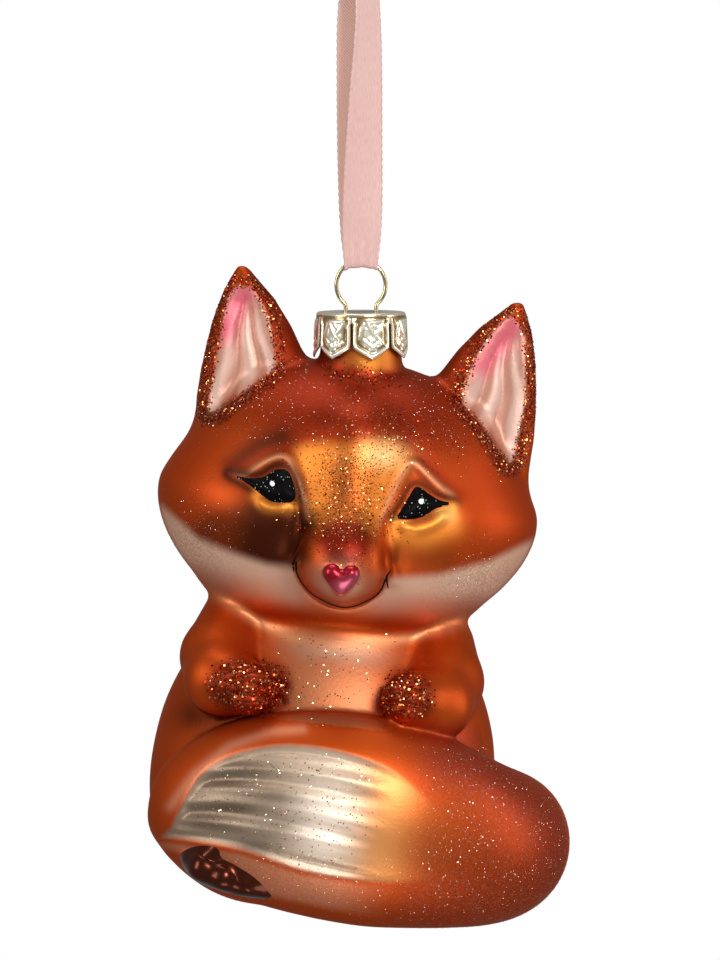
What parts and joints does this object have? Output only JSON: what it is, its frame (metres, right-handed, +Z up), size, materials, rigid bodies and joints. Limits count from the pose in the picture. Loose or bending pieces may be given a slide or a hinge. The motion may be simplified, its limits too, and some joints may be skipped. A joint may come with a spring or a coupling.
{
  "type": "hanging glass fox ornament",
  "caption": "Hollow blown-glass sitting fox with a stamped metal cap on its neck, a spring wire ring through the cap and a satin ribbon loop knotted at the top.",
  "frame": {"origin": "inside top of the ribbon loop, where a hook or twig carries the ornament", "axes": "+Z up, the fox looks along -Y, +X is on the viewer's right"},
  "size_m": [0.0639, 0.0511, 0.156],
  "materials": {
    "lacquered_glass": "silvered glass under satin copper-orange lacquer, with glitter",
    "stamped_cap": "bright champagne gold plating on embossed sheet",
    "spring_wire": "bright drawn wire",
    "satin_ribbon": "dusty pink satin"
  },
  "bodies": {
    "ribbon": {"ribbon_loop": "satin_ribbon", "ribbon_knot": "satin_ribbon"},
    "hanger": {"hanger_wire": "spring_wire"},
    "cap": {"cap": "stamped_cap"},
    "fox": {"glass_body": "lacquered_glass"}
  },
  "joints": [
    {"name": "ribbon_swing", "type": "hinge", "parent": "ribbon", "child": "hanger", "pos_m": [0, 0, -0.04115], "axis": [1, 0, 0], "range_deg": [-85, 85]},
    {"name": "wire_pull", "type": "slide", "parent": "hanger", "child": "cap", "axis": [0, 0, -1], "range_m": [0, 0.0025]},
    {"name": "cap_lift", "type": "slide", "parent": "cap", "child": "fox", "axis": [0, 0, -1], "range_m": [0, 0.02]}
  ]
}
